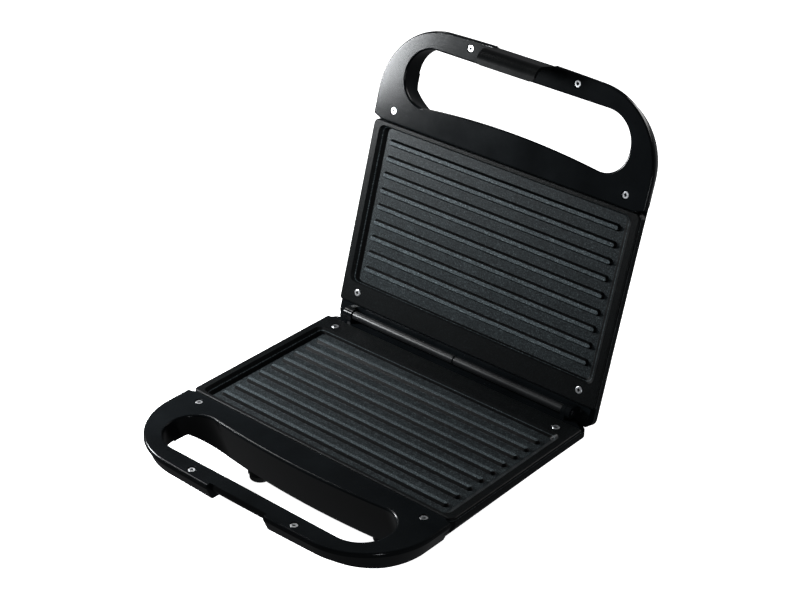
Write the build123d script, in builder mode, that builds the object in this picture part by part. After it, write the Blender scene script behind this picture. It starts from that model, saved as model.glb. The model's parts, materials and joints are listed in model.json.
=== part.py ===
"""Panini press: two plastic halves with grill plates, hinged at the back, latched at the handle.

+X runs along the hinge, +Y points to the back and +Z up. The origin is on the
surface that the press stands on, under the middle of the open press.
Both halves share one layout. Each is drawn on its own face plane, where x runs
along the hinge, y is the distance in front of the hinge axis, and z is the
depth behind the face, into the housing.
"""

import os
from math import atan, cos, degrees, radians, sin, sqrt, tan

from build123d import *

os.makedirs("parts", exist_ok=True)

# ---------------------------------------------------------------- driving dimensions, mm and degrees
OPEN_ANGLE = 105.7  # between the faces when the lid rests on its open stop
HINGE_Y = 66.98
HINGE_Z = 54.5
FACE_GAP = 4.5  # from the hinge axis to the face of each half

HALF_WIDTH = 117.0  # of the handle loop
CORNER_X, CORNER_Y, CORNER_R = 63.5, 165.8, 53.5  # big outer corner of the handle loop
FRONT_BOW = 2.0  # slope of the front edge where it meets the corner
HANDLE_REAR = 147.3
COVER_REAR = 144.7
NOTCH_X, NOTCH_Y = 111.0, 145.2  # point of the V notch between plate and handle
SEAM = 3.2  # depth of the joint between shell and cover
WALL = 2.5

OPENING_X, OPENING_Y = 95.5, 181.5  # outermost point of the hand opening
OPENING_END = 0.6  # straight stretch at the opening's ends
OPENING_PLATE_R, OPENING_BAR_R = 18.5, 22.4
OPENING_BOW = 6.65  # slope of the plate-side edge where it meets its corner
OPENING_LEAN = 0.39  # how far the plate-side wall runs back under its edge, per mm of depth
OPENING_TURN = [(4.5, 0.0), (1.5, 1.4), (-0.5, 4.4)]  # height above the tray bottom, extra run back
HANDLE_DEPTH, BAR_DEPTH, HANDLE_ROUND = 17.0, 13.2, 3.0
BAR_HALF, BAR_END = 76.0, 100.0  # the bar is thin within the first and full depth beyond the second
FLANK_TOP, FLANK_SLOPE = 0.3, 0.43  # inset of the handle's flank at the seam, and per mm of depth

TRAY_HALF, TRAY_FRONT, TRAY_DEPTH = 115.0, 184.0, 44.0
TRAY_EDGE = 8.0  # depth where the tray's side turns into its flank
TRAY_SIDE_SLOPE, TRAY_FRONT_SLOPE = 43.5, 41.0  # of the flanks, from upright
TRAY_SIDE_R, TRAY_REAR_R = 22.0, 8.0
TRAY_SPREAD = 2.6  # how much wider the deep sections are at the front
TRAY_LEVELS, TRAY_LAST_STEP = [16.0, 26.0, 34.0], 1.6  # depths of the sections, and the last one's height
REAR_CORNER, REAR_CORNER_GAIN = 6.0, 14.0  # corner radius at the edge, and its change to the bottom
FRONT_CORNER, FRONT_CORNER_LOSS = 36.0, 8.0
BASE_REAR, LID_REAR = -1.5, -8.0
DECK_DEPTH, DECK_FRONT, DECK_OVERLAP = 1.0, 5.7, 0.6

PLATE_HALF, PLATE_REAR, PLATE_FRONT = 115.3, 6.0, 144.3
RIM_DEPTH, FLOOR_DEPTH, PLATE_BACK = 0.2, 4.4, 7.0
RIB_COUNT, RIB_PITCH, RIB_FIRST = 9, 12.0, 34.0
RIB_LENGTH, RIB_WIDTH, RIB_TOP, RIB_HEIGHT = 201.5, 5.2, 2.4, 2.2
RIB_DRAFT = degrees(atan((RIB_WIDTH - RIB_TOP) / 2 / RIB_HEIGHT))
WELL_HALF, WELL_REAR, WELL_FRONT, WELL_R = 109.5, 22.0, 141.5, 5.0  # sunk part of the plate, at its rim
FLOOR_HALF, FLOOR_REAR, FLOOR_FRONT, FLOOR_R = 103.5, 23.5, 139.5, 3.0  # the same at its floor
BACK_HALF, BACK_REAR, BACK_FRONT = 108.0, 20.0, 143.0  # thick part behind the floor
TONGUE_X, TONGUE_HALF, TONGUE_REAR, TONGUE_FRONT = 60.0, 6.0, 140.0, 149.0
PLATE_REAR_R, PLATE_FRONT_R = 1.5, 4.0

PLATE_SCREWS = [(-100.0, 15.1), (100.0, 15.1)]
COVER_SCREWS = [(-100.0, 153.4), (100.0, 153.4), (-45.3, 213.4), (45.3, 213.4)]
HEAD_R, HEAD_HEIGHT = 2.75, 1.3
SHANK_R, PILOT_CLEARANCE, BOSS_R = 1.3, 0.06, 3.4
HEAD_ROUND, RECESS_R, RECESS_LENGTH, RECESS_WIDTH, RECESS_DEPTH = 0.6, 1.1, 2.8, 0.7, 0.9
HEAD_CLEARANCE, HOLE_CLEARANCE = 0.3, 0.2
LONG_BOSS, LONG_PILOT = 24.0, 9.0  # beside the tray
SHORT_BOSS, SHORT_PILOT = 12.0, 4.6  # in the bar of the handle
COVER_SEAT, COVER_ROUND, RIM_ROUND = 2.0, 1.3, 1.2

ROD_R, ROD_RUNNING = 2.0, 0.08
SLEEVE_R, SLEEVE_END, SLEEVE_GAP = 3.2, 94.8, 0.4
LUG_R, LUG_IN, LUG_OUT = 4.2, 95.2, 98.2
EAR_R, EAR_IN, EAR_OUT = 4.4, 98.6, 102.4

LATCH_HALF, LATCH_NOTCH = 24.3, 25.2
LATCH_Y, LATCH_DEPTH, BARREL_R = 212.2, 7.0, 2.8
NOTCH_FRONT, LID_NOTCH_BACK, BASE_NOTCH_BACK = 216.6, 209.0, 208.5
HANDLE_END = 226.0  # beyond the front of the handle loop
LEDGE_DEPTH, LEDGE_R = 8.0, 4.4  # underside and nose of the base's ledge that the hook grips
LATCH_FRONT, LATCH_TIP, LIP_DEPTH = 219.6, 208.6, -20.2  # outer face, free edge and outer lip of the latch
LATCH_WALL, LATCH_ROUND, LIP_CORNER = 2.5, 8.0, 4.0
ARM_Y, ARM_BACK, ARM_FRONT = 215.4, 8.6, 4.2  # where the latch's arm turns towards its outer wall
ARM_BACK_KNEE, ARM_FRONT_KNEE = (218.2, 6.0), (216.6, 3.8)
WALL_BACK, WALL_FRONT = 1.5, 2.6  # depths where the outer wall starts
PIN_R, PIN_HALF, PIN_BLOCK = 1.2, 29.0, 31.0

FOOT_POINTS = [(-57.0, 21.0), (57.0, 21.0), (-57.0, 139.0), (57.0, 139.0)]
FOOT_R, FOOT_BOSS_R, FOOT_TOP, FOOT_SEAT, FOOT_BOSS_LENGTH = 7.6, 8.6, 45.3, 47.5, 7.0

ELEMENT_R, ELEMENT_DEPTH, ELEMENT_X = 3.25, 10.4, 72.0
ELEMENT_REAR, ELEMENT_FRONT, ELEMENT_BEND = 27.0, 122.0, 22.0
CLAMP_POINTS = [(-72.0, 58.0), (72.0, 58.0), (-72.0, 96.0), (72.0, 96.0)]
CLAMP_WIDTH, CLAMP_SHEET, CLAMP_SCREW_X = 8.0, 0.8, 8.6
SHIELD_DEPTH, SHIELD_SHEET, SHIELD_RIM = 16.0, 0.6, 4.0
SHIELD_WIDTH, SHIELD_LENGTH, SHIELD_R, SHIELD_HOLE_R = 166.0, 104.0, 10.0, 11.0
SHIELD_SCREWS = [(-60.0, 46.0), (60.0, 46.0), (-60.0, 114.0), (60.0, 114.0)]
STATION_Y = 80.0  # thermostat in the middle of each plate
STATION_FLANGE_R, STATION_FLANGE, STATION_R, STATION_HEIGHT = 9.0, 1.5, 8.0, 7.5
BLADE_X, BLADE_HALF, BLADE_SIDE, BLADE_START, BLADE_END = 4.0, 0.4, 2.5, 15.0, 22.0
PIN_LENGTH, TERMINAL_R = 9.0, 1.1  # terminal pins of the heating element
CORD_X, CORD_DEPTH, CORD_BORE = 40.0, 21.0, 3.6
CORD_POSTS = [(CORD_X - 9, 16.0), (CORD_X + 9, 16.0)]
SADDLE_HALF, SADDLE_REAR, SADDLE_FRONT, SADDLE_THICK = 13.0, 12.0, 20.0, 3.0
SADDLE_TOP = CORD_DEPTH - 3.5 - SADDLE_THICK  # depth of the cord clamp's outer face
BUSHING_LIP_R, BUSHING_NECK_R, BUSHING_BARB_R, BUSHING_HOLE_R = 7.5, 5.45, 6.3, 5.5
BLOCK_X, BLOCK_Y, BLOCK_DEPTH = -20.0, 22.0, 31.0
BLOCK_HALF, BLOCK_SIDE, BLOCK_PITCH, BLOCK_HOLE_R = 15.0, 6.0, 9.0, 1.9
FUSE_X, FUSE_Y, FUSE_R, FUSE_HALF = 30.0, 67.0, 2.1, 7.0
LEAD_R, LEAD_HALF = 0.5, 15.0
LAMP_X, LAMP_Y, LAMP_R = 11.0, 118.0, 4.0
LENS_DEPTH, LENS_PROUD, LENS_ROUND = 39.5, 1.0, 0.9
LENS_RIM, LENS_RIM_START, LENS_RIM_LENGTH = 1.4, 0.5, 1.5
BOARD_DEPTH, BOARD_THICK, BOARD_HALF, BOARD_SIDE = 32.5, 1.6, 20.0, 7.0
BULB_R, BULB_LENGTH = 2.5, 5.0
FLOOR = HINGE_Z - FACE_GAP  # depth of the supporting surface below the base's face

# ---------------------------------------------------------------- planes
lean = radians(OPEN_ANGLE - 90)
lid_depth = Vector(0, cos(lean), -sin(lean))
hinge = Vector(0, HINGE_Y, HINGE_Z)
base_face = Plane(origin=hinge - Vector(0, 0, FACE_GAP), x_dir=(1, 0, 0), z_dir=(0, 0, -1))
lid_face = Plane(origin=hinge + lid_depth * FACE_GAP, x_dir=(-1, 0, 0), z_dir=lid_depth)


def across(face, x):
    """Plane across the press at x, where sketch x is the distance from the hinge and y the depth."""
    return Plane(origin=face.from_local_coords((x, 0, 0)), x_dir=face.y_dir, z_dir=face.x_dir)


def hinge_plane(x):
    return Plane(origin=hinge + Vector(x, 0, 0), x_dir=(0, 1, 0), z_dir=(1, 0, 0))


def save(part, name):
    part.label = name
    export_step(part, f"parts/{name}.step")


# ---------------------------------------------------------------- outlines
def handle_outline(inset=0.0, rear=HANDLE_REAR):
    """Outer outline of the handle loop, closed straight across at the rear."""
    side = HALF_WIDTH - inset
    radius = CORNER_R - inset
    bow = radians(FRONT_BOW)
    front_x = CORNER_X + radius * sin(bow)
    front_y = CORNER_Y + radius * cos(bow)
    middle = front_y + front_x * (1 - cos(bow)) / sin(bow)
    knee = radians(45)
    knee_x = CORNER_X + radius * sin(knee)
    knee_y = CORNER_Y + radius * cos(knee)
    with BuildLine() as line:
        Line((-side, rear), (-side, CORNER_Y))
        ThreePointArc((-side, CORNER_Y), (-knee_x, knee_y), (-front_x, front_y))
        ThreePointArc((-front_x, front_y), (0, middle), (front_x, front_y))
        ThreePointArc((front_x, front_y), (knee_x, knee_y), (side, CORNER_Y))
        Line((side, CORNER_Y), (side, rear))
        Line((side, rear), (-side, rear))
    return line.line


def opening_outline(shift):
    """Outline of the hand opening: a long slot whose plate side bows towards the hand.

    Its plate side lies further back by the shift.
    """
    bow = radians(OPENING_BOW)
    plate_y = OPENING_Y - shift
    plate_x = OPENING_X - OPENING_PLATE_R
    bar_x = OPENING_X - OPENING_BAR_R
    bar_y = OPENING_Y + OPENING_END
    start_x = plate_x - OPENING_PLATE_R * sin(bow)
    start_y = plate_y - OPENING_PLATE_R * cos(bow)
    middle = start_y + start_x * (1 - cos(bow)) / sin(bow)
    knee = sin(radians(45))
    with BuildLine() as line:
        ThreePointArc((-start_x, start_y), (0, middle), (start_x, start_y))
        for side in (1, -1):
            plate_knee = (side * (plate_x + OPENING_PLATE_R * knee), plate_y - OPENING_PLATE_R * knee)
            bar_knee = (side * (bar_x + OPENING_BAR_R * knee), bar_y + OPENING_BAR_R * knee)
            ThreePointArc((side * start_x, start_y), plate_knee, (side * OPENING_X, plate_y))
            Line((side * OPENING_X, plate_y), (side * OPENING_X, bar_y))
            ThreePointArc((side * OPENING_X, bar_y), bar_knee, (side * bar_x, bar_y + OPENING_BAR_R))
        Line((-bar_x, bar_y + OPENING_BAR_R), (bar_x, bar_y + OPENING_BAR_R))
    return line.line


def opening_prism(face, grow=0.0):
    """Cutter for the hand opening; its plate side leans back, and more so round the tray's bottom edge."""
    steps = [(-1, 0), (0, 0)] + [(TRAY_DEPTH - grow - height, turn) for height, turn in OPENING_TURN]
    with BuildPart() as prism:
        for (start, start_turn), (end, end_turn) in zip(steps, steps[1:]):
            for depth, turn in ((start, start_turn), (end, end_turn)):
                with BuildSketch(face.offset(depth)):
                    add(opening_outline(OPENING_LEAN * max(depth, 0) + turn))
                    make_face()
                    if grow:
                        offset(amount=grow)
            loft(ruled=True)
    return prism.part


# ---------------------------------------------------------------- housing halves
def flank_inset(depth, slope, radius, wall):
    """How far a flank, tangent to the rounded bottom edge, lies inside the tray's edge at a depth."""
    slope = radians(slope)
    centre_depth = TRAY_DEPTH - radius
    tangent_depth = centre_depth + radius * sin(slope)
    centre_inset = tan(slope) * (tangent_depth - TRAY_EDGE) + radius * cos(slope)
    if depth <= centre_depth + (radius - wall) * sin(slope):
        return tan(slope) * (depth - TRAY_EDGE) + wall / cos(slope)
    return centre_inset - sqrt((radius - wall) ** 2 - (depth - centre_depth) ** 2)


def tray_section(face, rear, depth, wall):
    """Rounded rectangle of the tray at one depth, or of its hollow when wall is given."""
    half = TRAY_HALF - flank_inset(depth, TRAY_SIDE_SLOPE, TRAY_SIDE_R, wall)
    front = TRAY_FRONT - flank_inset(depth, TRAY_FRONT_SLOPE, TRAY_SIDE_R, wall)
    back = rear + flank_inset(depth, 0, TRAY_REAR_R, wall)
    deep = (depth - TRAY_EDGE) / (TRAY_DEPTH - TRAY_EDGE)
    spread = TRAY_SPREAD * min(1, (depth - TRAY_EDGE) / TRAY_EDGE)
    with BuildSketch(face.offset(depth)) as section:
        with BuildLine():
            Polyline((-half, back), (half, back), (half + spread, front), (-half - spread, front), close=True)
        make_face()
        fillet(section.vertices().group_by(Axis.Y)[0], REAR_CORNER - 0.5 * wall + REAR_CORNER_GAIN * deep)
        fillet(section.vertices().group_by(Axis.Y)[-1], FRONT_CORNER - wall - FRONT_CORNER_LOSS * deep)
    return section.sketch


def tray(face, rear, wall=0.0):
    """Bowl behind the grill plate: a short upright edge, a straight flank and a rounded bottom."""
    deepest = TRAY_DEPTH - wall
    depths = [TRAY_EDGE, *TRAY_LEVELS, deepest - TRAY_LAST_STEP, deepest]
    sections = [tray_section(face, rear, depth, wall) for depth in depths]
    back = Plane(origin=face.from_local_coords((0, rear + wall, 0)), z_dir=face.y_dir)
    with BuildPart() as body:
        loft(sections)
        extrude(sections[0], amount=SEAM - TRAY_EDGE)
        split(bisect_by=back, keep=Keep.TOP)
    return body.part


def handle_body(face, inset=0.0):
    """Solid of the handle loop below the seam, without its hand opening."""
    run = HANDLE_DEPTH - inset - SEAM
    top = FLANK_TOP + inset
    with BuildPart() as body:
        with BuildSketch(face.offset(SEAM)):
            add(handle_outline(top))
            make_face()
        with BuildSketch(face.offset(SEAM + run)):
            add(handle_outline(top + FLANK_SLOPE * run))
            make_face()
        loft(ruled=True)
        grip_rear = Plane(
            origin=face.from_local_coords((0, OPENING_Y, 0)), x_dir=face.x_dir, z_dir=face.y_dir
        )
        with BuildSketch(grip_rear):
            with BuildLine():
                Polyline(
                    (-BAR_END, -HANDLE_DEPTH + inset),
                    (-BAR_HALF, -BAR_DEPTH + inset),
                    (BAR_HALF, -BAR_DEPTH + inset),
                    (BAR_END, -HANDLE_DEPTH + inset),
                    (BAR_END, -TRAY_DEPTH),
                    (-BAR_END, -TRAY_DEPTH),
                    close=True,
                )
            make_face()
        extrude(amount=HANDLE_END - OPENING_Y, mode=Mode.SUBTRACT)
        if not inset:
            fillet(body.edges().filter_by(lambda edge: is_low_outer(face, edge)), HANDLE_ROUND)
    return body.part


def is_low_outer(face, edge):
    """True for the deep edges round the outside of the handle loop."""
    middle = face.to_local_coords(edge.center())
    outside = abs(middle.X) > OPENING_X or middle.Y > OPENING_Y + OPENING_BAR_R + 2
    return middle.Z > BAR_DEPTH - 2 and middle.Y > HANDLE_REAR + 2 and outside


def is_lip_corner(edge):
    """True for the two upright edges at the ends of the latch's free edge."""
    middle = lid_face.to_local_coords(edge.center())
    on_tip = abs(middle.Y - LATCH_TIP) < 0.1 and abs(middle.Z - LIP_DEPTH - LATCH_WALL / 2) < 0.1
    return on_tip and abs(middle.X) > LATCH_HALF - 0.1


def discs(face, points, radius, start, depth):
    """Equal cylinders at some points, from a start depth on into the half."""
    with BuildPart() as group:
        with BuildSketch(face.offset(start)):
            with Locations(*points):
                Circle(radius)
        extrude(amount=depth)
    return group.part


def block(face, low, high):
    """Box between two corners, each given as (x, distance from the hinge, depth)."""
    size = [top - bottom for bottom, top in zip(low, high)]
    with BuildPart() as box:
        with BuildSketch(face.offset(low[2])):
            with Locations(((low[0] + high[0]) / 2, (low[1] + high[1]) / 2)):
                Rectangle(size[0], size[1])
        extrude(amount=size[2])
    return box.part


def notch_cutter(face):
    """The two V notches between plate and handle."""
    with BuildPart() as cutter:
        with BuildSketch(face.offset(-1)):
            for side in (1, -1):
                with BuildLine():
                    Polyline(
                        (side * NOTCH_X, NOTCH_Y),
                        (side * (HALF_WIDTH + 3), HANDLE_REAR + 1),
                        (side * (HALF_WIDTH + 3), NOTCH_Y - 4.5),
                        (side * (HALF_WIDTH - 2), NOTCH_Y - 4.5),
                        close=True,
                    )
                make_face()
        extrude(amount=11)
    return cutter.part


def deck(face, outline):
    """Plastic strip between the hinge and the grill plate."""
    with BuildPart() as strip:
        with BuildSketch(face.offset(DECK_DEPTH)):
            with BuildLine():
                Polyline(*outline, close=True)
            make_face()
        extrude(amount=SEAM + DECK_OVERLAP - DECK_DEPTH)
    return strip.part


def knuckles(face, inner, outer, radius, rear):
    """Pair of hinge rings round the hinge axis, each on a foot that reaches the deck."""
    with BuildPart() as pair:
        for start in (inner, -outer):
            with BuildSketch(across(face, start)):
                with Locations((0, -FACE_GAP)):
                    Circle(radius)
                with Locations(((radius + rear) / 2, (DECK_DEPTH + 0.5 - FACE_GAP) / 2)):
                    Rectangle(radius - rear, DECK_DEPTH + 0.5 + FACE_GAP)
            extrude(amount=outer - inner)
    return pair.part


def shell(face, rear, deck_outline):
    """One housing: tray and handle loop in one moulding, hollow, with screw bosses."""
    with BuildPart() as outer:
        add(tray(face, rear))
        add(handle_body(face))
        add(opening_prism(face), mode=Mode.SUBTRACT)
        add(notch_cutter(face), mode=Mode.SUBTRACT)
    with BuildPart() as hollow:
        add(tray(face, rear, WALL))
        add(handle_body(face, WALL))
        add(opening_prism(face, WALL), mode=Mode.SUBTRACT)
        bar = block(face, (-PIN_BLOCK, OPENING_Y + 20, 0), (PIN_BLOCK, HANDLE_END, HANDLE_DEPTH + 2))
        add(bar, mode=Mode.SUBTRACT)
    with BuildPart() as bosses:
        add(discs(face, PLATE_SCREWS + COVER_SCREWS[:2], BOSS_R, SEAM, LONG_BOSS))
        add(discs(face, COVER_SCREWS[2:], BOSS_R, SEAM, SHORT_BOSS))
        add(discs(face, SHIELD_SCREWS, BOSS_R, SHIELD_DEPTH + SHIELD_SHEET, TRAY_DEPTH - SHIELD_DEPTH))
        add(outer.part, mode=Mode.INTERSECT)
    with BuildPart() as body:
        add(outer.part)
        add(hollow.part, mode=Mode.SUBTRACT)
        add(bosses.part)
        add(deck(face, deck_outline))
        pilot = SHANK_R + PILOT_CLEARANCE
        add(discs(face, PLATE_SCREWS + COVER_SCREWS[:2], pilot, SEAM, LONG_PILOT), mode=Mode.SUBTRACT)
        add(discs(face, COVER_SCREWS[2:], pilot, SEAM, SHORT_PILOT), mode=Mode.SUBTRACT)
        add(discs(face, SHIELD_SCREWS, pilot, SHIELD_DEPTH, LONG_PILOT), mode=Mode.SUBTRACT)
    return body.part


def handle_cover(face):
    """Inner face of the handle loop, with the hand opening and four countersunk seats."""
    with BuildPart() as cover:
        with BuildSketch(face):
            add(handle_outline())
            make_face()
            with BuildLine():
                Polyline(
                    (-HALF_WIDTH, HANDLE_REAR),
                    (-NOTCH_X, NOTCH_Y),
                    (-NOTCH_X, COVER_REAR),
                    (NOTCH_X, COVER_REAR),
                    (NOTCH_X, NOTCH_Y),
                    (HALF_WIDTH, HANDLE_REAR),
                    close=True,
                )
            make_face()
        extrude(amount=SEAM)
        add(opening_prism(face), mode=Mode.SUBTRACT)
        front = cover.faces().sort_by(Axis(face.origin, face.z_dir))[0]
        fillet(front.edges(), COVER_ROUND)
        add(discs(face, COVER_SCREWS, HEAD_R + HEAD_CLEARANCE, -1, 1 + COVER_SEAT), mode=Mode.SUBTRACT)
        add(discs(face, COVER_SCREWS, SHANK_R + HOLE_CLEARANCE, 0, SEAM), mode=Mode.SUBTRACT)
        latch_gap = block(face, (-LATCH_NOTCH, NOTCH_FRONT, -1), (LATCH_NOTCH, HANDLE_END, SEAM + 1))
        add(latch_gap, mode=Mode.SUBTRACT)
    return cover.part


def clamp_holes():
    return [(x + side * CLAMP_SCREW_X, y) for x, y in CLAMP_POINTS for side in (-1, 1)]


def grill_plate(face):
    """Cast plate: rim, sunk floor with ribs, thicker back, and two tongues under the cover."""
    middle = (PLATE_REAR + PLATE_FRONT) / 2
    with BuildPart() as plate:
        with BuildSketch(face.offset(RIM_DEPTH)) as rim:
            with Locations((0, middle)):
                Rectangle(2 * PLATE_HALF, PLATE_FRONT - PLATE_REAR)
            fillet(rim.vertices().group_by(Axis.Y)[0], PLATE_REAR_R)
            fillet(rim.vertices().group_by(Axis.Y)[-1], PLATE_FRONT_R)
        extrude(amount=SEAM - RIM_DEPTH)
        front = plate.faces().sort_by(Axis(face.origin, face.z_dir))[0]
        fillet(front.edges(), RIM_ROUND)
        add(block(face, (-BACK_HALF, BACK_REAR, SEAM), (BACK_HALF, BACK_FRONT, PLATE_BACK)))
        for x in (-TONGUE_X, TONGUE_X):
            low = (x - TONGUE_HALF, TONGUE_REAR, SEAM + 0.1)
            add(block(face, low, (x + TONGUE_HALF, TONGUE_FRONT, SEAM + 2)))
        with BuildSketch(face.offset(RIM_DEPTH)):
            with Locations((0, (WELL_REAR + WELL_FRONT) / 2)):
                RectangleRounded(2 * WELL_HALF, WELL_FRONT - WELL_REAR, WELL_R)
        with BuildSketch(face.offset(FLOOR_DEPTH)):
            with Locations((0, (FLOOR_REAR + FLOOR_FRONT) / 2)):
                RectangleRounded(2 * FLOOR_HALF, FLOOR_FRONT - FLOOR_REAR, FLOOR_R)
        loft(ruled=True, mode=Mode.SUBTRACT)
        with BuildSketch(face.offset(FLOOR_DEPTH - RIB_HEIGHT)):
            with Locations((0, RIB_FIRST + RIB_PITCH * (RIB_COUNT - 1) / 2)):
                with GridLocations(1, RIB_PITCH, 1, RIB_COUNT):
                    SlotOverall(RIB_LENGTH - RIB_WIDTH + RIB_TOP, RIB_TOP)
        extrude(amount=RIB_HEIGHT, taper=-RIB_DRAFT)
        seats = discs(face, PLATE_SCREWS, HEAD_R + HEAD_CLEARANCE, RIM_DEPTH - 1, 1 + HEAD_HEIGHT)
        add(seats, mode=Mode.SUBTRACT)
        add(discs(face, PLATE_SCREWS, SHANK_R + HOLE_CLEARANCE, RIM_DEPTH, SEAM), mode=Mode.SUBTRACT)
        add(discs(face, clamp_holes(), SHANK_R + PILOT_CLEARANCE, PLATE_BACK - 1.9, 2), mode=Mode.SUBTRACT)
    return plate.part


def screws(plane, points, shank):
    """Cross-head screws whose head tops lie on the plane and whose shanks run along its normal."""
    with BuildPart() as group:
        add(discs(plane, points, HEAD_R, 0, HEAD_HEIGHT))
        tops = group.faces().group_by(Axis(plane.origin, plane.z_dir))[0]
        fillet(tops.edges(), HEAD_ROUND)
        with BuildSketch(plane):
            with Locations(*points):
                Circle(RECESS_R)
                Rectangle(RECESS_LENGTH, RECESS_WIDTH)
                Rectangle(RECESS_WIDTH, RECESS_LENGTH)
        extrude(amount=RECESS_DEPTH, mode=Mode.SUBTRACT)
        add(discs(plane, points, SHANK_R, HEAD_HEIGHT, shank))
    return group.part


def heating_element(face):
    """Sheathed heater bent into a U, with a terminal pin at each end."""
    with BuildPart() as element:
        with BuildLine(face.offset(ELEMENT_DEPTH)) as path:
            FilletPolyline(
                (-ELEMENT_X, ELEMENT_REAR),
                (-ELEMENT_X, ELEMENT_FRONT),
                (ELEMENT_X, ELEMENT_FRONT),
                (ELEMENT_X, ELEMENT_REAR),
                radius=ELEMENT_BEND,
            )
        with BuildSketch(Plane(origin=path.line @ 0, z_dir=path.line % 0)):
            Circle(ELEMENT_R)
        sweep()
        for x in (-ELEMENT_X, ELEMENT_X):
            add(rod(face, x, ELEMENT_REAR - PIN_LENGTH, ELEMENT_REAR, ELEMENT_DEPTH, TERMINAL_R))
    return element.part


def rod(face, x, start, end, depth, radius):
    """Cylinder that runs away from the hinge, from start to end."""
    origin = face.from_local_coords((x, start, depth))
    with BuildPart() as bar:
        with BuildSketch(Plane(origin=origin, x_dir=face.x_dir, z_dir=face.y_dir)):
            Circle(radius)
        extrude(amount=end - start)
    return bar.part


def element_clamps(face):
    """Bent straps that hold the heating element against the back of the plate."""
    top = ELEMENT_DEPTH + ELEMENT_R + 0.1
    half = ELEMENT_R + 0.15
    with BuildPart() as straps:
        for x, y in CLAMP_POINTS:
            origin = face.from_local_coords((x, y + CLAMP_WIDTH / 2, 0))
            with BuildSketch(Plane(origin=origin, x_dir=face.x_dir, z_dir=-face.y_dir)):
                with Locations((0, (PLATE_BACK + top + CLAMP_SHEET) / 2)):
                    Rectangle(2 * (half + CLAMP_SHEET), top + CLAMP_SHEET - PLATE_BACK)
                with Locations((0, PLATE_BACK + CLAMP_SHEET / 2)):
                    Rectangle(2 * (CLAMP_SCREW_X + 3.5), CLAMP_SHEET)
                with Locations((0, (PLATE_BACK + top) / 2)):
                    Rectangle(2 * half, top - PLATE_BACK, mode=Mode.SUBTRACT)
            extrude(amount=CLAMP_WIDTH)
        add(discs(face, clamp_holes(), SHANK_R + HOLE_CLEARANCE, PLATE_BACK - 1, 3), mode=Mode.SUBTRACT)
    return straps.part


def from_behind(face, depth):
    """Plane at a depth that looks back at the face, so its y is the distance from the hinge, negated."""
    return Plane(origin=face.from_local_coords((0, 0, depth)), x_dir=face.x_dir, z_dir=-face.z_dir)


def clamp_screws(face):
    points = [(x, -y) for x, y in clamp_holes()]
    return screws(from_behind(face, PLATE_BACK + CLAMP_SHEET + HEAD_HEIGHT), points, 2.5)


def heat_shield(face):
    """Sheet that keeps the heater's heat off the housing, with a rim turned away from the plate."""
    with BuildPart() as shield:
        with BuildSketch(face.offset(SHIELD_DEPTH)):
            with Locations((0, STATION_Y)):
                RectangleRounded(SHIELD_WIDTH, SHIELD_LENGTH, SHIELD_R)
        extrude(amount=SHIELD_RIM)
        with BuildSketch(face.offset(SHIELD_DEPTH + SHIELD_SHEET)):
            with Locations((0, STATION_Y)):
                width, length = SHIELD_WIDTH - 2 * SHIELD_SHEET, SHIELD_LENGTH - 2 * SHIELD_SHEET
                RectangleRounded(width, length, SHIELD_R - SHIELD_SHEET)
        extrude(amount=SHIELD_RIM, mode=Mode.SUBTRACT)
        add(discs(face, SHIELD_SCREWS, SHANK_R + HOLE_CLEARANCE, SHIELD_DEPTH, 1), mode=Mode.SUBTRACT)
        add(discs(face, [(0, STATION_Y)], SHIELD_HOLE_R, SHIELD_DEPTH, 1), mode=Mode.SUBTRACT)
    return shield.part


def thermostat(face):
    """Snap-disc thermostat clipped on the back of the plate, with two blade terminals."""
    with BuildPart() as body:
        add(discs(face, [(0, STATION_Y)], STATION_FLANGE_R, PLATE_BACK, STATION_FLANGE))
        add(discs(face, [(0, STATION_Y)], STATION_R, PLATE_BACK + STATION_FLANGE, STATION_HEIGHT))
        for x in (-BLADE_X, BLADE_X):
            low = (x - BLADE_HALF, STATION_Y - BLADE_SIDE, BLADE_START)
            add(block(face, low, (x + BLADE_HALF, STATION_Y + BLADE_SIDE, BLADE_END)))
    return body.part


# ---------------------------------------------------------------- the two halves
base_deck = [(-105, BASE_REAR), (-108, 1.5), (-113, DECK_FRONT)]
base_deck += [(113, DECK_FRONT), (108, 1.5), (105, BASE_REAR)]
lid_deck = [(-112.3, LID_REAR + 1), (-111.3, LID_REAR), (111.3, LID_REAR), (112.3, LID_REAR + 1)]
lid_deck += [(112.3, DECK_FRONT), (-112.3, DECK_FRONT)]

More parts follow.
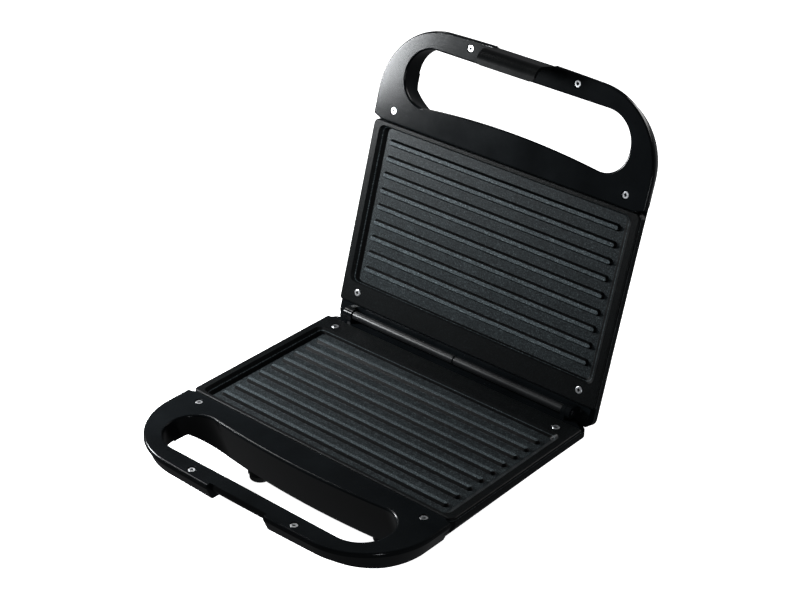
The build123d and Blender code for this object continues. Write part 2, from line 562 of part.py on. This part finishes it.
with BuildPart() as base_shell:
    add(shell(base_face, BASE_REAR, base_deck))
    add(knuckles(base_face, LUG_IN, LUG_OUT, LUG_R, BASE_REAR))
    add(discs(base_face, FOOT_POINTS, FOOT_BOSS_R, FOOT_TOP - FOOT_BOSS_LENGTH, FOOT_BOSS_LENGTH))
    post_length = TRAY_DEPTH - 1 - SADDLE_TOP - SADDLE_THICK
    add(discs(base_face, CORD_POSTS, BOSS_R, SADDLE_TOP + SADDLE_THICK, post_length))
    add(discs(base_face, FOOT_POINTS, SHANK_R + PILOT_CLEARANCE, FOOT_TOP - 5, 6), mode=Mode.SUBTRACT)
    add(discs(base_face, CORD_POSTS, SHANK_R + PILOT_CLEARANCE, SADDLE_TOP, 14), mode=Mode.SUBTRACT)
    cord_hole = rod(base_face, CORD_X, BASE_REAR - 1, BASE_REAR + WALL + 1, CORD_DEPTH, BUSHING_HOLE_R)
    add(cord_hole, mode=Mode.SUBTRACT)
    with BuildSketch(hinge_plane(-LUG_OUT - 1)):
        Circle(ROD_R + 0.02)
    extrude(amount=2 * LUG_OUT + 2, mode=Mode.SUBTRACT)
    with BuildSketch(across(base_face, -LATCH_NOTCH)) as ledge_gap:
        with BuildLine():
            Polyline(
                (NOTCH_FRONT, 0),
                (HANDLE_END, 0),
                (HANDLE_END, HANDLE_DEPTH + 2),
                (BASE_NOTCH_BACK, HANDLE_DEPTH + 2),
                (BASE_NOTCH_BACK, LEDGE_DEPTH),
                (NOTCH_FRONT, LEDGE_DEPTH),
                close=True,
            )
        make_face()
        nose = ledge_gap.vertices().sort_by_distance((NOTCH_FRONT, LEDGE_DEPTH, 0))[0]
        fillet(nose, LEDGE_R)
    extrude(amount=2 * LATCH_NOTCH, mode=Mode.SUBTRACT)
save(base_shell.part, "base_shell")

with BuildPart() as lid_shell:
    add(shell(lid_face, LID_REAR, lid_deck))
    add(knuckles(lid_face, EAR_IN, EAR_OUT, EAR_R, -4))
    with BuildSketch(hinge_plane(-EAR_OUT - 1)):
        Circle(ROD_R + ROD_RUNNING)
    extrude(amount=2 * EAR_OUT + 2, mode=Mode.SUBTRACT)
    notch = block(lid_face, (-LATCH_NOTCH, LID_NOTCH_BACK, 0), (LATCH_NOTCH, HANDLE_END, HANDLE_DEPTH + 2))
    add(notch, mode=Mode.SUBTRACT)
    with BuildSketch(across(lid_face, -PIN_HALF - 0.2)):
        with Locations((LATCH_Y, LATCH_DEPTH)):
            Circle(PIN_R + 0.02)
    extrude(amount=2 * PIN_HALF + 0.4, mode=Mode.SUBTRACT)
    add(discs(lid_face, [(-LAMP_X, LAMP_Y), (LAMP_X, LAMP_Y)], LAMP_R, LENS_DEPTH, 6), mode=Mode.SUBTRACT)
save(lid_shell.part, "lid_shell")

for prefix, face in (("lower", base_face), ("upper", lid_face)):
    save(grill_plate(face), f"{prefix}_grill_plate")
    save(handle_cover(face), f"{prefix}_handle_cover")
    save(screws(face.offset(RIM_DEPTH), PLATE_SCREWS, 10), f"{prefix}_plate_screws")
    long_screws = screws(face.offset(COVER_SEAT - HEAD_HEIGHT), COVER_SCREWS[:2], 9)
    short_screws = screws(face.offset(COVER_SEAT - HEAD_HEIGHT), COVER_SCREWS[2:], 5.5)
    save(Compound([*long_screws.solids(), *short_screws.solids()]), f"{prefix}_cover_screws")
    save(heating_element(face), f"{prefix}_heating_element")
    save(element_clamps(face), f"{prefix}_element_clamps")
    save(clamp_screws(face), f"{prefix}_clamp_screws")
    save(heat_shield(face), f"{prefix}_heat_shield")
    save(screws(face.offset(SHIELD_DEPTH - HEAD_HEIGHT), SHIELD_SCREWS, 7), f"{prefix}_shield_screws")
    save(thermostat(face), f"{prefix}_thermostat")

# ---------------------------------------------------------------- hinge
with BuildPart() as hinge_rod:
    with BuildSketch(hinge_plane(-EAR_OUT + 0.4)):
        Circle(ROD_R)
    extrude(amount=2 * (EAR_OUT - 0.4))
    chamfer(hinge_rod.edges().filter_by(GeomType.CIRCLE), 0.4)
save(hinge_rod.part, "hinge_rod")

for side, start in (("left", -SLEEVE_END), ("right", SLEEVE_GAP)):
    with BuildPart() as sleeve:
        with BuildSketch(hinge_plane(start)):
            Circle(SLEEVE_R)
            Circle(ROD_R + 0.05, mode=Mode.SUBTRACT)
        extrude(amount=SLEEVE_END - SLEEVE_GAP)
        rims = sleeve.edges().filter_by(lambda edge: edge.geom_type == GeomType.CIRCLE and edge.radius > 3)
        fillet(rims, 0.4)
    save(sleeve.part, f"hinge_sleeve_{side}")

# ---------------------------------------------------------------- latch
turn_x = LATCH_FRONT - LATCH_ROUND
turn_depth = LIP_DEPTH + LATCH_ROUND
inner_round = LATCH_ROUND - LATCH_WALL
knee = sin(radians(45))
with BuildPart() as latch:
    with BuildSketch(across(lid_face, -LATCH_HALF)):
        with BuildLine():
            Line((LATCH_Y, LATCH_DEPTH + BARREL_R), (ARM_Y, ARM_BACK))
            ThreePointArc((ARM_Y, ARM_BACK), ARM_BACK_KNEE, (LATCH_FRONT, WALL_BACK))
            Line((LATCH_FRONT, WALL_BACK), (LATCH_FRONT, turn_depth))
            ThreePointArc(
                (LATCH_FRONT, turn_depth),
                (turn_x + LATCH_ROUND * knee, turn_depth - LATCH_ROUND * knee),
                (turn_x, LIP_DEPTH),
            )
            Line((turn_x, LIP_DEPTH), (LATCH_TIP, LIP_DEPTH))
            Line((LATCH_TIP, LIP_DEPTH), (LATCH_TIP, LIP_DEPTH + LATCH_WALL))
            Line((LATCH_TIP, LIP_DEPTH + LATCH_WALL), (turn_x, LIP_DEPTH + LATCH_WALL))
            ThreePointArc(
                (turn_x, LIP_DEPTH + LATCH_WALL),
                (turn_x + inner_round * knee, turn_depth - inner_round * knee),
                (LATCH_FRONT - LATCH_WALL, turn_depth),
            )
            Line((LATCH_FRONT - LATCH_WALL, turn_depth), (LATCH_FRONT - LATCH_WALL, WALL_FRONT))
            ThreePointArc((LATCH_FRONT - LATCH_WALL, WALL_FRONT), ARM_FRONT_KNEE, (ARM_Y, ARM_FRONT))
            Line((ARM_Y, ARM_FRONT), (LATCH_Y, LATCH_DEPTH - BARREL_R))
            Line((LATCH_Y, LATCH_DEPTH - BARREL_R), (LATCH_Y, LATCH_DEPTH + BARREL_R))
        make_face()
        with Locations((LATCH_Y, LATCH_DEPTH)):
            Circle(BARREL_R)
            Circle(PIN_R + 0.05, mode=Mode.SUBTRACT)
    extrude(amount=2 * LATCH_HALF)
    fillet(latch.edges().filter_by(is_lip_corner), LIP_CORNER)
save(latch.part, "latch")

with BuildPart() as latch_pin:
    with BuildSketch(across(lid_face, -PIN_HALF)):
        with Locations((LATCH_Y, LATCH_DEPTH)):
            Circle(PIN_R)
    extrude(amount=2 * PIN_HALF)
save(latch_pin.part, "latch_pin")

# ---------------------------------------------------------------- feet
with BuildPart() as feet:
    add(discs(base_face, FOOT_POINTS, FOOT_R, FOOT_TOP, FLOOR - FOOT_TOP))
    soles = feet.faces().group_by(Axis(base_face.origin, base_face.z_dir))[-1]
    fillet(soles.edges(), 0.8)
    add(discs(base_face, FOOT_POINTS, HEAD_R + 0.4, FOOT_SEAT, 5), mode=Mode.SUBTRACT)
    add(discs(base_face, FOOT_POINTS, SHANK_R + 0.1, FOOT_TOP, 5), mode=Mode.SUBTRACT)
save(feet.part, "rubber_feet")
foot_points = [(x, -y) for x, y in FOOT_POINTS]
save(screws(from_behind(base_face, FOOT_SEAT + HEAD_HEIGHT), foot_points, 6.5), "foot_screws")

# ---------------------------------------------------------------- supply, in the base
with BuildPart() as cord_bushing:
    add(rod(base_face, CORD_X, BASE_REAR - 3, BASE_REAR, CORD_DEPTH, BUSHING_LIP_R))
    fillet(cord_bushing.edges().filter_by(GeomType.CIRCLE).sort_by(Axis.Y)[-1], 1.2)
    wall_inside = BASE_REAR + WALL + 0.1
    add(rod(base_face, CORD_X, BASE_REAR, wall_inside, CORD_DEPTH, BUSHING_NECK_R))
    add(rod(base_face, CORD_X, wall_inside, wall_inside + 1.9, CORD_DEPTH, BUSHING_BARB_R))
    add(rod(base_face, CORD_X, BASE_REAR - 4, wall_inside + 3, CORD_DEPTH, CORD_BORE), mode=Mode.SUBTRACT)
save(cord_bushing.part, "cord_bushing")

with BuildPart() as cord_clamp:
    low = (CORD_X - SADDLE_HALF, SADDLE_REAR, SADDLE_TOP)
    add(block(base_face, low, (CORD_X + SADDLE_HALF, SADDLE_FRONT, SADDLE_TOP + SADDLE_THICK)))
    holes = discs(base_face, CORD_POSTS, SHANK_R + HOLE_CLEARANCE, SADDLE_TOP - 1, SADDLE_THICK + 2)
    add(holes, mode=Mode.SUBTRACT)
save(cord_clamp.part, "cord_clamp")
save(screws(base_face.offset(SADDLE_TOP - HEAD_HEIGHT), CORD_POSTS, 12), "cord_clamp_screws")

with BuildPart() as terminal_block:
    low = (BLOCK_X - BLOCK_HALF, BLOCK_Y - BLOCK_SIDE, BLOCK_DEPTH)
    add(block(base_face, low, (BLOCK_X + BLOCK_HALF, BLOCK_Y + BLOCK_SIDE, TRAY_DEPTH - WALL)))
    for x in (BLOCK_X - BLOCK_PITCH, BLOCK_X, BLOCK_X + BLOCK_PITCH):
        start, end = BLOCK_Y - BLOCK_SIDE - 1, BLOCK_Y + BLOCK_SIDE + 1
        add(rod(base_face, x, start, end, BLOCK_DEPTH + 5, BLOCK_HOLE_R), mode=Mode.SUBTRACT)
save(terminal_block.part, "terminal_block")

with BuildPart() as thermal_fuse:
    add(rod(base_face, FUSE_X, FUSE_Y - FUSE_HALF, FUSE_Y + FUSE_HALF, PLATE_BACK + FUSE_R, FUSE_R))
    add(rod(base_face, FUSE_X, FUSE_Y - LEAD_HALF, FUSE_Y + LEAD_HALF, PLATE_BACK + FUSE_R, LEAD_R))
save(thermal_fuse.part, "thermal_fuse")

# ---------------------------------------------------------------- lamps, in the lid
for name, x in (("power_lamp_lens", -LAMP_X), ("ready_lamp_lens", LAMP_X)):
    with BuildPart() as lens:
        lens_length = TRAY_DEPTH + LENS_PROUD - LENS_DEPTH
        add(discs(lid_face, [(x, LAMP_Y)], LAMP_R - 0.1, LENS_DEPTH, lens_length))
        fillet(lens.faces().sort_by(Axis(lid_face.origin, lid_face.z_dir))[-1].edges(), LENS_ROUND)
        rim_start = LENS_DEPTH + LENS_RIM_START
        add(discs(lid_face, [(x, LAMP_Y)], LAMP_R + LENS_RIM, rim_start, LENS_RIM_LENGTH))
    save(lens.part, name)

with BuildPart() as lamp_board:
    board_end = BOARD_DEPTH + BOARD_THICK
    low = (-BOARD_HALF, LAMP_Y - BOARD_SIDE, BOARD_DEPTH)
    add(block(lid_face, low, (BOARD_HALF, LAMP_Y + BOARD_SIDE, board_end)))
    add(discs(lid_face, [(-LAMP_X, LAMP_Y), (LAMP_X, LAMP_Y)], BULB_R, board_end, BULB_LENGTH))
save(lamp_board.part, "lamp_board")
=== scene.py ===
"""Looks of the panini press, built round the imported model: materials, studio and camera."""

import json
import math

import bpy
from mathutils import Matrix, Vector

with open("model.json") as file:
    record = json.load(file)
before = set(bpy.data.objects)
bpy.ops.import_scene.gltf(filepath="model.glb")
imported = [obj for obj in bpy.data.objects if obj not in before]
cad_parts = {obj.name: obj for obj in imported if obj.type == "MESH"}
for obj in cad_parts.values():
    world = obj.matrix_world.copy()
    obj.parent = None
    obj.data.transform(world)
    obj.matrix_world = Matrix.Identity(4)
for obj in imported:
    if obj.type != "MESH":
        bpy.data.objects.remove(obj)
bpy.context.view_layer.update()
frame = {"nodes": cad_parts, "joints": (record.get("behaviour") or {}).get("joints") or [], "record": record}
nodes = frame["nodes"]
joints = {joint["name"]: joint for joint in frame["joints"]}
hinge = Vector(joints["lid_hinge"]["pos_m"])
open_angle = -math.radians(joints["lid_hinge"]["range_deg"][0])
lean = open_angle - math.pi / 2
base_normal = Vector((0, 0, 1))
lid_normal = Vector((0, -math.cos(lean), math.sin(lean)))  # out of the lid's inner face

# Depths below the top of a grill plate's rim or a screw's head, in metres.
PLATE_FLOOR = 0.0042
# depths over which a screw's recess goes from full painted shade to none
RECESS_FULL_SHADE_DEPTH, RECESS_NO_SHADE_DEPTH = 0.00075, 0.00062
PLATE_BEVEL, LATCH_BEVEL = 0.00045, 0.0006
GRAIN_SCALE = 1150  # speckles of the non-stick coating


# ---------------------------------------------------------------- camera
def add_camera():
    """Looks from the front right and above, as the photograph does."""
    azimuth, elevation, roll = math.radians(39.95), math.radians(29.38), math.radians(1.18)
    distance, shift_right, shift_up = 1.3507, -0.0387, 0.0425
    back = Vector((
        math.sin(azimuth) * math.cos(elevation),
        -math.cos(azimuth) * math.cos(elevation),
        math.sin(elevation),
    ))
    level_right = Vector((math.cos(azimuth), math.sin(azimuth), 0))
    level_up = back.cross(level_right)
    right = math.cos(roll) * level_right + math.sin(roll) * level_up
    up = back.cross(right)
    camera = bpy.data.objects.new("camera", bpy.data.cameras.new("camera"))
    camera.data.lens = 86.2
    camera.data.sensor_width = 36
    camera.data.clip_end = 20
    place = hinge + right * shift_right + up * shift_up + back * distance
    camera.matrix_world = Matrix.Translation(place) @ Matrix((right, up, back)).transposed().to_4x4()
    bpy.context.scene.collection.objects.link(camera)
    bpy.context.scene.camera = camera


# ---------------------------------------------------------------- materials
def new_material(name):
    material = bpy.data.materials.new(name)
    material.use_nodes = True
    tree = material.node_tree
    shader = tree.nodes["Principled BSDF"]
    position = tree.nodes.new("ShaderNodeTexCoord").outputs["Object"]
    return material, tree, shader, position


def noise(tree, position, scale, detail=3, roughness=0.5):
    node = tree.nodes.new("ShaderNodeTexNoise")
    node.inputs["Scale"].default_value = scale
    node.inputs["Detail"].default_value = detail
    node.inputs["Roughness"].default_value = roughness
    tree.links.new(position, node.inputs["Vector"])
    return node.outputs["Fac"]


def ramp(tree, value, stops):
    """Colour ramp with stops of (place, colour)."""
    node = tree.nodes.new("ShaderNodeValToRGB")
    while len(node.color_ramp.elements) < len(stops):
        node.color_ramp.elements.new(0.5)
    for element, (place, colour) in zip(node.color_ramp.elements, stops):
        element.position = place
        element.color = (*colour, 1)
    tree.links.new(value, node.inputs["Fac"])
    return node.outputs["Color"]


def grey(level):
    return (level, level, level)


def bump(tree, shader, height, strength, distance):
    node = tree.nodes.new("ShaderNodeBump")
    node.inputs["Strength"].default_value = strength
    node.inputs["Distance"].default_value = distance
    tree.links.new(height, node.inputs["Height"])
    tree.links.new(node.outputs["Normal"], shader.inputs["Normal"])


def moulded_plastic(name, colour, rough, spread, specular, grain):
    """Injection-moulded plastic: fine grain, and polish that varies slowly over the surface."""
    material, tree, shader, position = new_material(name)
    shader.inputs["Specular IOR Level"].default_value = specular
    worn = noise(tree, position, 28, 4, 0.6)
    darker = tuple(0.75 * c for c in colour)
    lighter = tuple(1.35 * c for c in colour)
    tree.links.new(ramp(tree, worn, [(0.3, darker), (0.7, lighter)]), shader.inputs["Base Color"])
    polish = ramp(tree, worn, [(0.3, grey(rough)), (0.7, grey(rough + spread))])
    tree.links.new(polish, shader.inputs["Roughness"])
    bump(tree, shader, noise(tree, position, 2600, 2, 0.5), grain, 0.0002)
    return material


def height_along(tree, position, normal, low, high):
    """0 to 1 for a place between two distances along a normal."""
    along = tree.nodes.new("ShaderNodeVectorMath")
    along.operation = "DOT_PRODUCT"
    along.inputs[1].default_value = normal
    tree.links.new(position, along.inputs[0])
    level = tree.nodes.new("ShaderNodeMapRange")
    level.inputs["From Min"].default_value = low
    level.inputs["From Max"].default_value = high
    tree.links.new(along.outputs["Value"], level.inputs["Value"])
    return level.outputs["Result"]


def multiply(tree, first, second):
    mix = tree.nodes.new("ShaderNodeMix")
    mix.data_type = "RGBA"
    mix.blend_type = "MULTIPLY"
    mix.inputs["Factor"].default_value = 1
    tree.links.new(first, mix.inputs["A"])
    tree.links.new(second, mix.inputs["B"])
    return mix.outputs["Result"]


def nonstick(name, normal, top):
    """Speckled non-stick coating, with painted highlights on the rib tops and painted shade on the ribs'
    flanks and the rim.

    The normal points out of the plate's face, and top is how far its rim lies along it.
    """
    material, tree, shader, position = new_material(name)
    shader.inputs["Specular IOR Level"].default_value = 0.1
    grains = noise(tree, position, GRAIN_SCALE, 2, 0.7)
    coat = ramp(tree, grains, [(0.4, (0.034, 0.041, 0.045)), (0.58, (0.11, 0.135, 0.145)),
                               (0.72, (0.34, 0.4, 0.42))])
    cloud = ramp(tree, noise(tree, position, 45, 4, 0.6), [(0.35, grey(0.8)), (0.65, grey(1.0))])
    level = height_along(tree, position, normal, top - PLATE_FLOOR, top)
    # painted light and shade by height: bright rib tops, near-black rib flanks and rim, a dimmer floor
    painted_rib_light_and_shade = ramp(tree, level, [
        (0.02, grey(0.22)),  # floor
        (0.05, grey(0.006)),
        (0.45, grey(0.006)),  # flanks of the ribs
        (0.51, grey(0.62)),
        (0.54, grey(0.62)),  # tops of the ribs
        (0.6, grey(0.02)),
        (0.96, grey(0.035)),  # rim
    ])
    tree.links.new(multiply(tree, multiply(tree, coat, cloud), painted_rib_light_and_shade), shader.inputs["Base Color"])
    rough = ramp(tree, grains, [(0.4, grey(0.45)), (0.65, grey(0.3))])
    tree.links.new(rough, shader.inputs["Roughness"])
    bump(tree, shader, grains, 0.4, 0.0004)
    return material


def metal(name, colour, rough, brushed=False):
    """Bare metal; brushed metal has fine lines along the hinge."""
    material, tree, shader, position = new_material(name)
    shader.inputs["Metallic"].default_value = 1
    lines = tree.nodes.new("ShaderNodeMapping")
    lines.inputs["Scale"].default_value = (20, 900, 900) if brushed else (400, 400, 400)
    tree.links.new(position, lines.inputs["Vector"])
    grain = noise(tree, lines.outputs["Vector"], 1, 3, 0.6)
    dull = tuple(0.8 * c for c in colour)
    tree.links.new(ramp(tree, grain, [(0.3, dull), (0.7, colour)]), shader.inputs["Base Color"])
    polish = ramp(tree, grain, [(0.3, grey(rough)), (0.7, grey(rough + 0.12))])
    tree.links.new(polish, shader.inputs["Roughness"])
    bump(tree, shader, grain, 0.15, 0.0001)
    return material


def screw_zinc(name, normal, top):
    """Zinc-plated screw whose recess, everything deeper than its rim, is painted dark as shade.

    The normal points out of the head, and top is how far the heads lie along it.
    """
    material, tree, shader, position = new_material(name)
    level = height_along(tree, position, normal, top - RECESS_FULL_SHADE_DEPTH, top - RECESS_NO_SHADE_DEPTH)
    # painted shade in the recess: near-black, rough and not metallic below the rim, bare plating at the
    # head's top
    plating_with_painted_recess_shade = ramp(tree, level, [(0.0, (0.012, 0.012, 0.013)), (1.0, (0.9, 0.91, 0.93))])
    tree.links.new(plating_with_painted_recess_shade, shader.inputs["Base Color"])
    tree.links.new(ramp(tree, level, [(0.0, grey(0.8)), (1.0, grey(0.34))]), shader.inputs["Roughness"])
    tree.links.new(ramp(tree, level, [(0.0, grey(0)), (1.0, grey(1))]), shader.inputs["Metallic"])
    bump(tree, shader, noise(tree, position, 900, 2, 0.5), 0.1, 0.0001)
    return material


def clear_lens(name, colour):
    material, tree, shader, position = new_material(name)
    shader.inputs["Roughness"].default_value = 0.12
    shader.inputs["Transmission Weight"].default_value = 0.35
    cloud = noise(tree, position, 300, 2, 0.5)
    darker = tuple(0.6 * c for c in colour)
    tree.links.new(ramp(tree, cloud, [(0.3, darker), (0.7, colour)]), shader.inputs["Base Color"])
    return material


finishes = {
    "black_housing": moulded_plastic("housing_plastic", (0.003, 0.0038, 0.0044), 0.15, 0.04, 0.17, 0.05),
    "latch_black": moulded_plastic("latch_plastic", (0.003, 0.0034, 0.0036), 0.2, 0.06, 0.25, 0.03),
    "hinge_sleeve": moulded_plastic("sleeve_plastic", (0.006, 0.0065, 0.007), 0.3, 0.08, 0.3, 0.05),
    "phenolic": moulded_plastic("phenolic_resin", (0.06, 0.03, 0.018), 0.4, 0.1, 0.5, 0.2),
    "foot_rubber": moulded_plastic("foot_rubber", (0.02, 0.02, 0.02), 0.7, 0.15, 0.3, 0.6),
    "bushing_rubber": moulded_plastic("bushing_rubber", (0.018, 0.018, 0.018), 0.6, 0.15, 0.35, 0.5),
    "white_nylon": moulded_plastic("white_nylon", (0.7, 0.69, 0.64), 0.45, 0.1, 0.4, 0.2),
    "board": moulded_plastic("board_laminate", (0.2, 0.12, 0.05), 0.55, 0.1, 0.3, 0.3),
    "screw_steel": metal("screw_zinc", (0.82, 0.83, 0.85), 0.2),
    "pin_steel": metal("pin_steel", (0.6, 0.6, 0.6), 0.25, True),
    "heater_sheath": metal("heater_sheath", (0.35, 0.32, 0.3), 0.45),
    "sheet_steel": metal("sheet_steel", (0.62, 0.63, 0.65), 0.32, True),
    "fuse_metal": metal("fuse_metal", (0.75, 0.75, 0.76), 0.3),
    "red_lens": clear_lens("red_lens", (0.55, 0.02, 0.015)),
    "green_lens": clear_lens("green_lens", (0.02, 0.4, 0.07)),
}


def top_along(node, normal):
    """How far the outermost point of a node lies along a normal."""
    return max(normal.dot(vertex.co) for vertex in nodes[node].data.vertices)


node_finishes = {}
for half, outward in (("lower", base_normal), ("upper", lid_normal)):
    name = f"{half}_grill_plate"
    node_finishes[name] = nonstick(name, outward, top_along(name, outward))
    for kind in ("plate", "cover"):
        name = f"{half}_{kind}_screws"
        node_finishes[name] = screw_zinc(name, outward, top_along(name, outward))
foot_screw_top = top_along("foot_screws", -base_normal)
node_finishes["foot_screws"] = screw_zinc("foot_screws", -base_normal, foot_screw_top)


def soften(node, width):
    """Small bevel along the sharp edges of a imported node, which catches the light."""
    bevel = nodes[node].modifiers.new("soft_edges", "BEVEL")
    bevel.width = width
    bevel.segments = 2
    bevel.limit_method = "ANGLE"
    bevel.angle_limit = math.radians(28)


def finish_cad_nodes():
    """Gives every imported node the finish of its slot."""
    for entry in frame["record"]["subparts"]:
        node = nodes[entry["node"]]
        material = node_finishes.get(entry["node"]) or finishes[entry["material_slot"]]
        if not node.material_slots:
            node.data.materials.append(material)
        for material_slot in node.material_slots:
            material_slot.material = material


# ---------------------------------------------------------------- studio
def add_area_light(name, place, target, size, power, colour=(1, 1, 1)):
    """Rectangular lamp, size metres wide and high, that points at a target."""
    light = bpy.data.lights.new(name, "AREA")
    light.shape = "RECTANGLE"
    light.size, light.size_y = size
    light.energy = power
    light.color = colour
    lamp = bpy.data.objects.new(name, light)
    lamp.location = place
    lamp.visible_camera = False
    lamp.rotation_euler = (Vector(target) - Vector(place)).to_track_quat("-Z", "Y").to_euler()
    bpy.context.scene.collection.objects.link(lamp)


def add_studio():
    """White floor that neither reflects in the press nor lights it, dim surroundings and small lamps."""
    floor_mesh = bpy.data.meshes.new("floor")
    reach = 6.0
    corners = [(-reach, -reach, 0), (reach, -reach, 0), (reach, reach, 0), (-reach, reach, 0)]
    floor_mesh.from_pydata(corners, [], [(0, 1, 2, 3)])
    floor = bpy.data.objects.new("floor", floor_mesh)
    bpy.context.scene.collection.objects.link(floor)
    material, tree, shader, position = new_material("floor_paper")
    shader.inputs["Roughness"].default_value = 0.9
    shader.inputs["Specular IOR Level"].default_value = 0.1
    shader.inputs["Emission Color"].default_value = (1, 1, 1, 1)
    shader.inputs["Emission Strength"].default_value = 1.0
    paper = ramp(tree, noise(tree, position, 3), [(0.3, grey(0.9)), (0.7, grey(0.93))])
    tree.links.new(paper, shader.inputs["Base Color"])
    floor_mesh.materials.append(material)
    floor.visible_glossy = False
    floor.visible_diffuse = False

    world = bpy.data.worlds.new("studio")
    world.use_nodes = True
    world.node_tree.nodes["Background"].inputs["Color"].default_value = (0.95, 0.97, 1, 1)
    world.node_tree.nodes["Background"].inputs["Strength"].default_value = 0.08
    bpy.context.scene.world = world

    bpy.context.scene.view_settings.view_transform = "Standard"

    add_area_light("near_left", (-0.38, -0.15, 0.27), (-0.02, 0.04, 0.12), (0.12, 0.12), 4.2, (0.95, 0.98, 1))
    add_area_light("back_left", (-0.6, 0.12, 0.7), (-0.08, -0.02, 0.05), (0.2, 0.2), 1.5)
    add_area_light("behind", (0.5, 1.7, 1.0), (0, 0.1, 0.12), (1.4, 0.8), 22)
    add_area_light("edge", (1.3, -0.9, 0.2), (0, 0, 0.1), (0.15, 0.5), 5, (0.92, 0.97, 1))


add_camera()
finish_cad_nodes()
soften("lower_grill_plate", PLATE_BEVEL)
soften("upper_grill_plate", PLATE_BEVEL)
soften("latch", LATCH_BEVEL)
add_studio()
